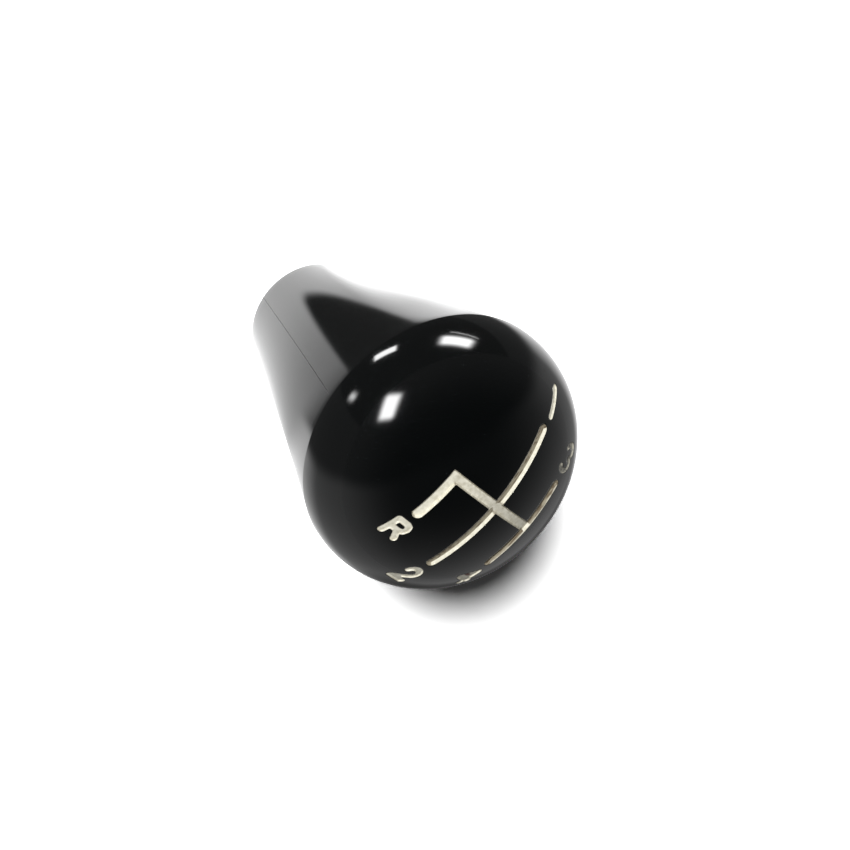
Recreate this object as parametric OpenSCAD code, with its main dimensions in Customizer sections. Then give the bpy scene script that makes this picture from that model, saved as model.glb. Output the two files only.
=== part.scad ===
// Gear lever knob: a one-piece moulded head and tapering stem, with a brass
// threaded bush in its end and an enamelled shift gate engraved in its crown.
// The knob stands on its stem end. +Z runs up the axis to the crown,
// +X to the right across the gate and +Y towards its top row.

/* [Head] */
// Diameter of the head at its widest ring
head_d = 45; // [38:0.5:55]
// Radius of the crown's broad curve
crown_r = 30.5; // [28:0.5:60]
// Radius of the shoulder that runs from the crown past the widest ring
shoulder_r = 15.4; // [11:0.1:18.5]
// Drop from the widest ring to the crease where the stem begins
crease_drop = 1.5; // [0.3:0.1:2.5]
// Radius of the soft crease between the head and the stem
crease_r = 1; // [0.3:0.1:5]

/* [Stem] */
// Height of the widest ring above the stem end
stem_h = 46; // [36:0.5:60]
// Diameter of the stem at its end, before its edge is rounded
stem_end_d = 20.8; // [18.5:0.1:28]
// Radius of the slightly hollow side of the taper, seen from the side
side_r = 950; // [400:50:950]
// Radius of the rounded edge round the stem end
end_edge_r = 1.2; // [0.2:0.1:1.8]

/* [Threaded bush] */
// Outside diameter of the bush
bush_d = 15; // [13:0.1:18]
// Length of the bush
bush_h = 24; // [20:0.5:32]
// How far the bush is set back from the stem end
bush_recess = 0.4; // [0:0.1:2]
// Wall diameter of the hole, as drilled for a 12 mm thread
thread_d = 10.5; // [6:0.1:12]
// Depth of the threaded hole, without its drill point
thread_h = 19; // [10:0.5:20]
// Half angle of the drill point at the blind end
drill_half_angle = 59; // [50:1:75]
// Number of grooves that lock the bush in the moulding
lock_grooves = 2; // [0:1:3]
// Height of each lock groove
lock_groove_h = 3; // [1:0.1:4]
// Depth of each lock groove
lock_groove_depth = 0.9; // [0.2:0.1:1.2]
// Chamfer on the edges of the bush and on the mouth of its hole
bush_chamfer = 0.6; // [0.1:0.1:0.9]
// Gap between the bush and the moulding round it
bush_gap = 0.02; // [0:0.01:0.1]

/* [Shift gate] */
// Distance between neighbouring columns of the gate
column_pitch = 9.1; // [6:0.1:11]
// Reach of the middle column above the crossbar, to its round end
middle_up = 13.9; // [8:0.1:16]
// Reach of the middle column below the crossbar, to its round end
middle_down = 13.4; // [8:0.1:16]
// Reach of the right column on each side of the crossbar
right_reach = 8.5; // [5:0.1:11]
// Reach of the reverse leg below the crossbar
reverse_reach = 8.5; // [5:0.1:11]
// Width of the engraved line
line_w = 1.7; // [1:0.1:2.4]
// Depth of the engraved line
line_depth = 0.9; // [0.5:0.05:1.5]
// Thickness of the enamel on the floor of the line
enamel_h = 0.45; // [0.2:0.05:0.6]
// Gap between the enamel and the walls and floor of the line
enamel_gap = 0.02; // [0:0.01:0.05]

/* [Hidden] */
$fn = 120;
// Length by which a cutter passes through a face
over = 1;

head_r = head_d / 2;

// The shoulder arc turns into the crown arc where they share a tangent
shoulder_c = [head_r - shoulder_r, stem_h];
crown_drop = sqrt(pow(crown_r - shoulder_r, 2) - pow(shoulder_c[0], 2));
crown_c = [0, stem_h - crown_drop];
crown_top = crown_c[1] + crown_r;
blend_way = [shoulder_c[0], crown_drop] / (crown_r - shoulder_r);

// The crease arc lies inside the shoulder arc, and touches it below the ring
crease_angle = asin(crease_drop / shoulder_r);
crease_way = [cos(crease_angle), -sin(crease_angle)];
crease_c = shoulder_c + (shoulder_r - crease_r) * crease_way;

// The hollow side starts at the stem end and touches the crease from outside
side_end = [stem_end_d / 2, 0];
side_way = crease_c - side_end;
side_turn = acos(
    (pow(norm(side_way), 2) - crease_r * (2 * side_r + crease_r))
        / (2 * side_r * norm(side_way))
);
side_angle = atan2(side_way[1], side_way[0]) - side_turn;
side_c = side_end + side_r * [cos(side_angle), sin(side_angle)];

// The end edge arc touches the hollow side and the end face
end_edge_c = [
    side_c[0] - sqrt(pow(side_r + end_edge_r, 2) - pow(side_c[1] - end_edge_r, 2)),
    end_edge_r
];
// The side is so long an arc that it needs finer steps than the rest
side_steps = 4320;
// Arcs that touch are drawn this far into each other, so that they join
arc_bite = 0.005;
// Height above the end edge's touch at which the side takes over from it
side_lift = sqrt(arc_bite * end_edge_r / 2);

// Point past the hollow side, on the way from a point to the side's centre
function beyond_side(point) =
    point + 2 * (crease_r + end_edge_r) * (side_c - point) / norm(side_c - point);

thread_r = thread_d / 2;
drill_point_h = thread_r / tan(drill_half_angle);
lock_pitch = bush_h / (lock_grooves + 1);

// Half section of the head, drawn smaller by an inset from its surface
module head_section(inset = 0) {
    intersection() {
        union() {
            intersection() {
                translate(crown_c)
                    circle(r = crown_r - inset);
                polygon([
                    crown_c,
                    crown_c + 2 * crown_r * blend_way,
                    crown_c + 2 * crown_r * [0, 1]
                ]);
            }
            translate(shoulder_c)
                circle(r = shoulder_r - inset);
            polygon([
                [0, stem_h],
                crown_c,
                crown_c + (crown_r - shoulder_r) * blend_way,
                [0, stem_h + shoulder_r - inset]
            ]);
        }
        translate([0, stem_h])
            square([head_d, crown_top - stem_h + over]);
    }
}

// Half section of the stem, from its rounded end edge to the widest ring
module stem_section() {
    difference() {
        union() {
            polygon([
                [0, 0],
                [end_edge_c[0], 0],
                end_edge_c + [0, side_lift],
                beyond_side(end_edge_c + [0, side_lift]),
                beyond_side(crease_c),
                crease_c,
                [shoulder_c[0], stem_h],
                [0, stem_h]
            ]);
            translate(end_edge_c)
                circle(r = end_edge_r);
            translate(crease_c)
                circle(r = crease_r + arc_bite);
        }
        translate(side_c)
            circle(r = side_r + arc_bite, $fn = side_steps);
    }
    // The shoulder runs on below the widest ring, as far as the crease
    intersection() {
        translate(shoulder_c)
            circle(r = shoulder_r);
        translate([0, stem_h - crease_drop])
            square([head_d, crease_drop]);
    }
}

// Half section of the bush's outside, drawn larger by a gap all round
module bush_section(gap = 0) {
    outer_r = bush_d / 2 + gap;
    difference() {
        polygon([
            [0, -gap],
            [outer_r, -gap],
            [outer_r, bush_h - bush_chamfer + gap],
            [outer_r - bush_chamfer, bush_h + gap],
            [0, bush_h + gap]
        ]);
        for (i = [1 : 1 : lock_grooves])
            translate([
                outer_r - lock_groove_depth,
                i * lock_pitch - lock_groove_h / 2 + gap
            ])
                square([lock_groove_depth + over, lock_groove_h - 2 * gap]);
    }
}

// One straight stroke of the gate, between the centres of its round ends
module stroke(from, to, width) {
    run = to - from;
    translate(from)
        circle(d = width);
    translate(to)
        circle(d = width);
    translate(from)
        rotate(atan2(run[1], run[0]))
            translate([0, -width / 2])
                square([norm(run), width]);
}

// Plan of the shift gate: reverse leg, crossbar, middle and right columns
module gate_plan(width) {
    left = -column_pitch;
    right = column_pitch;
    end_r = line_w / 2;
    stroke([left, 0], [right, 0], width);
    stroke([left, 0], [left, end_r - reverse_reach], width);
    stroke([0, middle_up - end_r], [0, end_r - middle_down], width);
    stroke([right, right_reach - end_r], [right, end_r - right_reach], width);
    // The outer corner of the reverse leg is cut square
    translate([left - width / 2, 0])
        square(width / 2);
}

// Column over the gate's plan, tall enough to pass through the crown
module gate_column(width) {
    translate([0, 0, stem_h])
        linear_extrude(height = crown_top - stem_h + over)
            gate_plan(width);
}

// Solid head at a depth below its surface, for the floor of the lines
module head_core(depth) {
    rotate_extrude()
        head_section(depth);
}

module knob_body() {
    color("#0c0c0d")
        difference() {
            rotate_extrude() {
                head_section();
                stem_section();
            }
            translate([0, 0, bush_recess])
                rotate_extrude()
                    bush_section(bush_gap);
            translate([0, 0, -over])
                cylinder(r = bush_d / 2 + bush_gap, h = bush_recess + over);
            difference() {
                gate_column(line_w);
                head_core(line_depth);
            }
        }
}

module threaded_bush() {
    color("#b9975b")
        translate([0, 0, bush_recess])
            difference() {
                rotate_extrude()
                    bush_section();
                translate([0, 0, -over])
                    cylinder(r = thread_r, h = thread_h + over);
                translate([0, 0, thread_h])
                    cylinder(r1 = thread_r, r2 = 0, h = drill_point_h);
                translate([0, 0, -over])
                    cylinder(
                        r1 = thread_r + bush_chamfer + over,
                        r2 = thread_r,
                        h = bush_chamfer + over
                    );
            }
}

module gate_enamel() {
    color("#e6dccb")
        intersection() {
            gate_column(line_w - 2 * enamel_gap);
            difference() {
                head_core(line_depth - enamel_gap - enamel_h);
                head_core(line_depth - enamel_gap);
            }
        }
}

knob_body();
threaded_bush();
gate_enamel();
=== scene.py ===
"""Looks of a gear lever knob: gloss black moulding, enamelled shift gate and brass bush.

Sizes are in metres in the part's own frame: the knob stands on its stem end at z = 0, +Z runs
up the axis to the crown, +X to the right across the gate and +Y towards its top row.
"""

import logging
import math
from dataclasses import dataclass, field
from enum import Enum

import bpy
import numpy as np
from mathutils import Matrix, Vector


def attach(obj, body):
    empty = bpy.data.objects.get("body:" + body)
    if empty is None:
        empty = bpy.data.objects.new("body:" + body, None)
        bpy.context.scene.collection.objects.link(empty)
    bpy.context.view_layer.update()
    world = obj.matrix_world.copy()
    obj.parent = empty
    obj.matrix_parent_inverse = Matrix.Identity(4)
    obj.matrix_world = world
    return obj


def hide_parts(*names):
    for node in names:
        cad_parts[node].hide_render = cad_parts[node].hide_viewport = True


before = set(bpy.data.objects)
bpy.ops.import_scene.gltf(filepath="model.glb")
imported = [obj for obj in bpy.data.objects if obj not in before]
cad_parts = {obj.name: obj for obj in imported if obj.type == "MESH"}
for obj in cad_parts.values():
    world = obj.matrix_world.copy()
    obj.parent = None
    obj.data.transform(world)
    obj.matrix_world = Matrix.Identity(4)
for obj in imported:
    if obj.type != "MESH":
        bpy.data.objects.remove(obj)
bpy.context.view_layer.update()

Array = np.ndarray
Socket = bpy.types.NodeSocket
Colour = tuple[float, float, float, float]
Point = tuple[float, float, float]
Pair = tuple[float, float]
MM = 0.001
# A point this near a lip counts as on it
LIP = 1e-7
# Radius of the last ring before a pole on the axis
AXIS_R = 1.0 * MM
# A Mix node's sockets for colours, among those for its other kinds of data
MIX_INPUTS = (0, 6, 7)
MIX_RESULT = 2
# Stand-ins for a length of nought where something is divided by it
ON_AXIS = 1e-9
TINY = 1e-12
BODY = "root"
log = logging.getLogger("knob")


class RayKind(Enum):
    """Kinds of light ray that a stage material tells apart, by their Light Path output."""

    CAMERA = "Is Camera Ray"
    GLOSSY = "Is Glossy Ray"
    TRANSMISSION = "Is Transmission Ray"


class MarkKind(Enum):
    """What the marks on a surface look like, as the noise stretch along X, Y and Z."""

    POLISHED = (1.0, 1.0, 1.0)
    TURNED = (0.02, 0.02, 1.0)


def unit(vector: Array) -> Array:
    """Scale vectors to length one, along their last axis."""
    return vector / np.linalg.norm(vector, axis=-1, keepdims=True)


def arc(centre: Array, radius: float, start: float, end: float, steps: int) -> Array:
    """Points on a circle: centre plus radius times the cosine and sine of an angle.

    Args:
        centre: Centre of the arc, as (r, z).
        radius: Radius of the arc.
        start: Angle of the first point, in radians.
        end: Angle of the last point, in radians.
        steps: Number of equal steps between them.

    Returns:
        The points, one row each, first and last included.
    """
    angle = np.linspace(start, end, steps + 1)
    return centre + radius * np.stack([np.cos(angle), np.sin(angle)], -1)


def divide(corners: Array, longest: float) -> Array:
    """Divide a path's straight runs into equal steps no longer than a given length.

    Args:
        corners: The path's corners, one (r, z) row each.
        longest: Longest step to leave.

    Returns:
        The corners and the points between them: corner plus a share of the run after it.
    """
    runs = np.diff(corners, axis=0)
    counts = np.maximum(np.ceil(np.linalg.norm(runs, axis=1) / longest), 1).astype(int)
    owner = np.repeat(np.arange(len(runs)), counts)
    first = np.repeat(np.cumsum(counts) - counts, counts)
    share = (np.arange(len(owner)) - first) / counts[owner]
    return np.vstack([corners[owner] + share[:, None] * runs[owner], corners[-1:]])


@dataclass
class Surface:
    """Vertices and triangles of one closed piece while it is put together.

    Normals are given where the true surface's are known, and are nought elsewhere.
    """

    points: Array
    triangles: Array
    normals: Array | None = None

    def object(self, name: str, sharp_deg: float = 34.0) -> bpy.types.Object:
        """Put the surface into a smooth-shaded mesh object with sharp edges at its corners.

        Args:
            name: Name of the piece.
            sharp_deg: Angle between faces past which their edge is sharp.

        Returns:
            The object, linked to the scene at the origin.
        """
        mesh = bpy.data.meshes.new(name)
        mesh.vertices.add(len(self.points))
        mesh.vertices.foreach_set("co", self.points.astype(np.float32).ravel())
        mesh.loops.add(self.triangles.size)
        mesh.loops.foreach_set("vertex_index", self.triangles.astype(np.int32).ravel())
        mesh.polygons.add(len(self.triangles))
        starts = np.arange(0, self.triangles.size, 3, dtype=np.int32)
        mesh.polygons.foreach_set("loop_start", starts)
        mesh.update(calc_edges=True)
        mesh.shade_smooth()
        mesh.set_sharp_from_angle(angle=math.radians(sharp_deg))
        if self.normals is not None:
            mesh.normals_split_custom_set_from_vertices(self.normals.tolist())
        piece = bpy.data.objects.new(name, mesh)
        bpy.context.scene.collection.objects.link(piece)
        return piece


@dataclass(frozen=True)
class Lathe:
    """Surface of revolution about Z, from a path that may change with the angle."""

    sectors: int = 320

    def angles(self) -> Array:
        """Angles of the sectors' edges: equal steps round the axis, from -pi."""
        return np.arange(self.sectors) / self.sectors * 2 * np.pi - np.pi

    def points(self, radius: Array, height: Array) -> Array:
        """Points of the grid: radius times the cosine and sine of the angle, at the height.

        Args:
            radius: Radius for each row, or for each row and sector.
            height: Height for each row.

        Returns:
            The points, with the rows one after another.
        """
        angle = self.angles()[None, :]
        rows = np.broadcast_to(radius.reshape(len(height), -1), (len(height), self.sectors))
        z = np.broadcast_to(height[:, None], rows.shape)
        return np.stack([rows * np.cos(angle), rows * np.sin(angle), z], -1).reshape(-1, 3)

    def walls(self, rows: int) -> Array:
        """Triangles between neighbouring rows, with the last sector joined to the first.

        Args:
            rows: Number of rows in the grid.

        Returns:
            Triangles that face right of the path, as seen with +Z up.
        """
        ring = np.arange(self.sectors)
        after = np.roll(ring, -1)
        first = np.arange(rows - 1)[:, None] * self.sectors
        upper, upper_next = first + ring, first + after
        lower, lower_next = upper + self.sectors, upper_next + self.sectors
        halves = [np.stack([upper, lower, lower_next], -1)]
        halves.append(np.stack([upper, lower_next, upper_next], -1))
        return np.concatenate([half.reshape(-1, 3) for half in halves])

    def fan(self, ring_start: int, pole: int, pole_first: bool) -> Array:
        """Triangles between one row and a pole on the axis.

        Args:
            ring_start: Index of the row's first vertex.
            pole: Index of the pole.
            pole_first: Whether the path starts at the pole.

        Returns:
            The fan's triangles, facing as the walls do.
        """
        ring = ring_start + np.arange(self.sectors)
        after = np.roll(ring, -1)
        tip = np.full(self.sectors, pole)
        return np.stack([tip, ring, after] if pole_first else [ring, tip, after], -1)


@dataclass(frozen=True)
class BushSeat:
    """Sizes of the threaded bush and of the seat that the moulding forms round it."""

    bush_d: float = 15 * MM
    bush_h: float = 24 * MM
    recess: float = 0.4 * MM
    chamfer: float = 0.6 * MM
    gap: float = 0.02 * MM
    lock_grooves: int = 2
    lock_groove_h: float = 3 * MM
    lock_groove_depth: float = 0.9 * MM

    def outline(self, gap: float, bottom: float) -> Array:
        """Outside of the bush, from its bottom edge up to the edge of its top face.

        Args:
            gap: How much larger the outline is drawn all round.
            bottom: Height at which the outline starts.

        Returns:
            Corners as (r, z) rows.
        """
        outer = self.bush_d / 2 + gap
        top = self.recess + self.bush_h + gap
        pitch = self.bush_h / (self.lock_grooves + 1)
        middle = self.recess + pitch * np.arange(1, self.lock_grooves + 1)
        half = self.lock_groove_h / 2 - gap
        inner = outer - self.lock_groove_depth
        groove_r = np.tile([outer, inner, inner, outer], self.lock_grooves)
        groove_z = (middle[:, None] + half * np.array([-1, -1, 1, 1])).ravel()
        grooves = np.column_stack([groove_r, groove_z])
        ends = np.array([[outer, top - self.chamfer], [outer - self.chamfer, top]])
        return np.vstack([[[outer, bottom]], grooves, ends])


@dataclass(frozen=True)
class KnobProfile:
    """Half section of the moulding: crown, shoulder, crease, hollow side and end edge."""

    head_d: float = 45 * MM
    crown_r: float = 30.5 * MM
    shoulder_r: float = 15.4 * MM
    crease_drop: float = 1.5 * MM
    crease_r: float = 1 * MM
    stem_h: float = 46 * MM
    stem_end_d: float = 20.8 * MM
    side_r: float = 950 * MM
    end_edge_r: float = 1.2 * MM
    steps: tuple[int, ...] = (26, 4, 30, 9)

    @property
    def shoulder_centre(self) -> Array:
        """Centre of the shoulder arc, level with the widest ring."""
        return np.array([self.head_d / 2 - self.shoulder_r, self.stem_h])

    @property
    def crown_centre(self) -> Array:
        """Centre of the crown arc, on the axis, so that crown and shoulder share a tangent.

        Returns:
            The centre as (r, z): its drop is root of (radii's difference squared - r squared).
        """
        reach = self.crown_r - self.shoulder_r
        drop = math.sqrt(reach**2 - self.shoulder_centre[0] ** 2)
        return np.array([0.0, self.stem_h - drop])

    @property
    def blend_radius(self) -> float:
        """Distance from the axis at which the crown arc hands over to the shoulder arc."""
        reach = self.crown_r - self.shoulder_r
        return self.crown_r * self.shoulder_centre[0] / reach

    @property
    def crease_angle(self) -> float:
        """Angle below the widest ring at which the shoulder arc ends, in radians."""
        return math.asin(self.crease_drop / self.shoulder_r)

    @property
    def crease_centre(self) -> Array:
        """Centre of the crease arc, inside the shoulder arc and touching it."""
        way = np.array([math.cos(self.crease_angle), -math.sin(self.crease_angle)])
        return self.shoulder_centre + (self.shoulder_r - self.crease_r) * way

    @property
    def side_centre(self) -> Array:
        """Centre of the hollow side: one radius from the stem end, touching the crease.

        Returns:
            The centre as (r, z), with its direction turned off the crease by the cosine rule.
        """
        end = np.array([self.stem_end_d / 2, 0.0])
        way = self.crease_centre - end
        length = float(np.hypot(*way))
        turn = math.acos(
            (length**2 - self.crease_r * (2 * self.side_r + self.crease_r))
            / (2 * self.side_r * length)
        )
        angle = math.atan2(way[1], way[0]) - turn
        return end + self.side_r * np.array([math.cos(angle), math.sin(angle)])

    @property
    def edge_centre(self) -> Array:
        """Centre of the rounded end edge, touching the hollow side and the end face.

        Returns:
            The centre as (r, z), one edge radius outside the hollow side's circle.
        """
        reach = self.side_r + self.end_edge_r
        rise = self.side_centre[1] - self.end_edge_r
        return np.array([self.side_centre[0] - math.sqrt(reach**2 - rise**2), self.end_edge_r])

    def crown(self, plan: Array) -> tuple[Array, Array]:
        """Height of the head over a plan point, and the surface's normal there.

        The surface is the crown's sphere inside the blend radius and the shoulder's ring
        outside it: height = centre + root of (radius squared - distance squared).

        Args:
            plan: Plan points, one (x, y) row each.

        Returns:
            The heights, and the normals as (x, y, z) rows.
        """
        distance = np.hypot(plan[:, 0], plan[:, 1])
        on_crown = distance <= self.blend_radius
        centre_r = np.where(on_crown, 0.0, self.shoulder_centre[0])
        centre_z = np.where(on_crown, self.crown_centre[1], self.shoulder_centre[1])
        radius = np.where(on_crown, self.crown_r, self.shoulder_r)
        rise = np.sqrt(radius**2 - (distance - centre_r) ** 2)
        outwards = plan / np.maximum(distance, ON_AXIS)[:, None]
        lean = (distance - centre_r) / radius
        return centre_z + rise, np.column_stack([outwards * lean[:, None], rise / radius])

    def crown_point(self, plan: Array, depth: Array) -> Array:
        """Point on the head over a plan point, moved inwards by depth times the normal.

        Args:
            plan: Plan points, one (x, y) row each.
            depth: How far each point lies below the surface.

        Returns:
            The points, one (x, y, z) row each.
        """
        height, normal = self.crown(plan)
        return np.column_stack([plan, height]) - normal * depth[:, None]

    def outside(self, rim_r: float) -> Array:
        """Outside of the moulding below the crown, down to the inner end of its end edge.

        Args:
            rim_r: Distance from the axis at which the path starts, on the shoulder.

        Returns:
            Points as (r, z) rows, from the shoulder down.
        """
        start = math.acos((rim_r - self.shoulder_centre[0]) / self.shoulder_r)
        to_side = self.side_centre - self.crease_centre
        crease_end = math.atan2(to_side[1], to_side[0])
        side_start = crease_end + math.pi if crease_end < 0 else crease_end - math.pi
        from_edge = self.edge_centre - self.side_centre
        side_end = math.atan2(from_edge[1], from_edge[0]) % (2 * math.pi)
        side_start %= 2 * math.pi
        edge_start = side_end - math.pi
        arcs = (
            (self.shoulder_centre, self.shoulder_r, start, -self.crease_angle),
            (self.crease_centre, self.crease_r, -self.crease_angle, crease_end),
            (self.side_centre, self.side_r, side_start, side_end),
            (self.edge_centre, self.end_edge_r, edge_start, -math.pi / 2),
        )
        paths = [arc(*shape, count) for shape, count in zip(arcs, self.steps)]
        return np.vstack([path[:-1] for path in paths] + [paths[-1][-1:]])


@dataclass(frozen=True)
class Figure:
    """One figure of the gate, drawn with round-ended strokes on a unit box.

    The box is 1 high and centred on the figure; x runs right and y up.
    """

    centre: Pair
    height: float
    line_w: float
    strokes: tuple[tuple[Pair, ...], ...]

    def segments(self) -> Array:
        """Straight pieces of every stroke: centre plus height times the unit point.

        Returns:
            An array of (start, end) point pairs.
        """
        pairs = [np.stack([np.array(s)[:-1], np.array(s)[1:]], 1) for s in self.strokes]
        return np.concatenate(pairs) * self.height + np.array(self.centre)


def bow(
    centre: Pair, radii: Pair, start: float, end: float, steps: int = 12
) -> tuple[Pair, ...]:
    """Straight steps along an ellipse, for a figure's curved stroke.

    Args:
        centre: Centre of the ellipse in the figure's unit box.
        radii: Its half width and half height.
        start: Angle of the first point, in degrees.
        end: Angle of the last point, in degrees.
        steps: Number of equal steps between them.

    Returns:
        The points: centre plus the radii times the cosine and sine of the angle.
    """
    angle = np.radians(np.linspace(start, end, steps + 1))
    x = centre[0] + radii[0] * np.cos(angle)
    y = centre[1] + radii[1] * np.sin(angle)
    return tuple(zip(x.tolist(), y.tolist()))


@dataclass(frozen=True)
class ShiftGate:
    """Plan and section of the engraved shift gate and its figures."""

    column_pitch: float = 9.1 * MM
    middle_up: float = 13.9 * MM
    middle_down: float = 13.4 * MM
    right_reach: float = 8.5 * MM
    reverse_reach: float = 8.5 * MM
    line_w: float = 1.7 * MM
    line_depth: float = 0.9 * MM
    enamel_dip: float = 0.5 * MM
    enamel_shelf: float = 0.16 * MM
    wall_share: float = 0.14
    # These fields shape one mask on the enamel: settled dirt, and painted shade where the left
    # lip's shadow and the shaded left wall fall. The crossbar's own even share is dirt.
    line_dirt_and_shade: tuple[float, ...] = (0.0, 0.1, 1.0, 1.0)
    line_dirt_and_shade_end: tuple[float, ...] = (0.8, 0.8, 0.8, 1.09)
    dirt_and_shade_across: tuple[float, ...] = (-1.65, -1.1, -0.7, -0.25, -0.06)
    dirt_and_shade_levels: tuple[float, ...] = (0.0, 0.25, 0.8, 1.0, 0.0)
    crossbar_dirt: float = 0.17
    crossbar_bias: float = 0.35 * MM
    figure_dirt_and_shade: float = 0.25
    figure_dirt_and_shade_end: float = 0.8
    edge_dirt_and_shade: float = 0.4
    edge_reach: Pair = (0.05, 0.3)
    edge_until: float = 0.3
    figure_depth: float = 0.5 * MM
    figure_dip: float = 0.22 * MM
    figures: tuple[Figure, ...] = (
        Figure(
            (-9.05 * MM, -11.5 * MM),
            3.0 * MM,
            1.02 * MM,
            (
                ((-0.39, -0.5), (-0.39, 0.5), (0.14, 0.5), (0.32, 0.42), (0.38, 0.24)),
                ((0.38, 0.24), (0.32, 0.05), (0.14, -0.04), (-0.39, -0.04)),
                ((0.06, -0.04), (0.36, -0.5)),
            ),
        ),
        Figure(
            (0.65 * MM, 17.1 * MM),
            3.5 * MM,
            1.0 * MM,
            (((-0.05, 0.43), (0.0, 0.5), (0.0, -0.5)),),
        ),
        Figure(
            (0.1 * MM, -16.6 * MM),
            3.3 * MM,
            1.05 * MM,
            (bow((0.0, 0.2), (0.33, 0.3), 170, -35) + ((-0.38, -0.5), (0.4, -0.5)),),
        ),
        Figure(
            (9.2 * MM, 11.95 * MM),
            3.75 * MM,
            0.9 * MM,
            (
                bow((-0.02, 0.25), (0.3, 0.25), 150, -80),
                bow((-0.02, -0.25), (0.34, 0.25), 80, -150),
            ),
        ),
        Figure(
            (9.1 * MM, -11.6 * MM),
            3.3 * MM,
            1.1 * MM,
            (
                ((0.2, -0.5), (0.2, 0.5), (-0.4, -0.2), (0.42, -0.2)),
                ((0.1, 0.2), (-0.15, -0.1), (0.1, -0.05)),
            ),
        ),
    )

    def _cuts(self) -> tuple[Array, Array, Array, Array]:
        """Every cut as straight segments: the gate's four lines, then the figures' strokes.

        Returns:
            The (start, end) pairs of the cuts' middle lines, and for each its half width,
            its depth and the dip of its enamel.
        """
        left, right, end = -self.column_pitch, self.column_pitch, self.line_w / 2
        lines = np.array(
            [
                [[left, 0], [right, 0]],
                [[left, 0], [left, end - self.reverse_reach]],
                [[0, self.middle_up - end], [0, end - self.middle_down]],
                [[right, self.right_reach - end], [right, end - self.right_reach]],
            ]
        )
        marks = [figure.segments() for figure in self.figures]
        count = np.array([len(lines)] + [len(mark) for mark in marks])
        width = np.repeat([self.line_w] + [figure.line_w for figure in self.figures], count)
        of_line = np.arange(count.sum()) < len(lines)
        depth = np.where(of_line, self.line_depth, self.figure_depth)
        dip = np.where(of_line, self.enamel_dip, self.figure_dip)
        return np.concatenate([lines] + marks), width / 2, depth, dip

    @staticmethod
    def _offsets(plan: Array, cuts: Array) -> Array:
        """Way to each plan point from the nearest point of every cut's middle line.

        The nearest point is the start plus the run times a share between 0 and 1.

        Args:
            plan: Plan points, one (x, y) row each.
            cuts: The cuts' middle lines, as (start, end) pairs.

        Returns:
            One (x, y) way for each plan point and cut.
        """
        start, run = cuts[:, 0], cuts[:, 1] - cuts[:, 0]
        along = ((plan[:, None] - start) * run).sum(-1) / (run**2).sum(-1)
        return plan[:, None] - (start + np.clip(along, 0, 1)[..., None] * run)

    def dirt_and_shade(self, plan: Array) -> Array:
        """How much dirt and painted shade lie on the enamel over each plan point.

        Across a line that runs along Y, from -1 at its left lip to 1 at its right lip, the mark
        is painted shade, the left lip's shadow and the shaded wall, with dirt in it. It is thin
        at first, is full just before the line's end limit and ends there, so both lips stay
        light. It fades as a stroke turns along X, and the crossbar has an even dirt of its own.
        A narrow edge along the lips is darkened too, up to near the middle, by dirt and painted
        shade. Where lines cross, the crossbar counts as nearer by its bias.

        Args:
            plan: Plan points, one (x, y) row each.

        Returns:
            The dirt and painted shade at each point, from 0 to 1.
        """
        cuts, half, _, _ = self._cuts()
        run = cuts[:, 1] - cuts[:, 0]
        offset = self._offsets(plan, cuts)
        gap = np.linalg.norm(offset, axis=-1) - half
        bias = np.where(np.arange(len(cuts)) == 0, self.crossbar_bias, 0.0)
        nearest = (gap - bias).argmin(1)
        row = np.arange(len(plan))
        across = offset[row, nearest, 0] / half[nearest]
        amount = np.full(len(cuts), self.figure_dirt_and_shade)
        amount[: len(self.line_dirt_and_shade)] = self.line_dirt_and_shade
        dirt_and_shade_end = np.full(len(cuts), self.figure_dirt_and_shade_end)
        dirt_and_shade_end[: len(self.line_dirt_and_shade_end)] = self.line_dirt_and_shade_end
        # Painted shade with dirt: upright strokes only, from the left lip up to the end limit.
        upright = (np.abs(run[:, 1]) / np.linalg.norm(run, axis=1) * amount)[nearest]
        short = across - dirt_and_shade_end[nearest]
        dirt_and_shade_layer = upright * np.interp(short, self.dirt_and_shade_across, self.dirt_and_shade_levels)
        dirt_and_shade_layer = np.where(nearest == 0, self.crossbar_dirt, dirt_and_shade_layer)
        inside = -gap[row, nearest] / half[nearest]
        edge = np.interp(inside, self.edge_reach, [self.edge_dirt_and_shade, 0])
        return np.maximum(dirt_and_shade_layer, np.where(across < self.edge_until, edge, 0))

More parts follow.
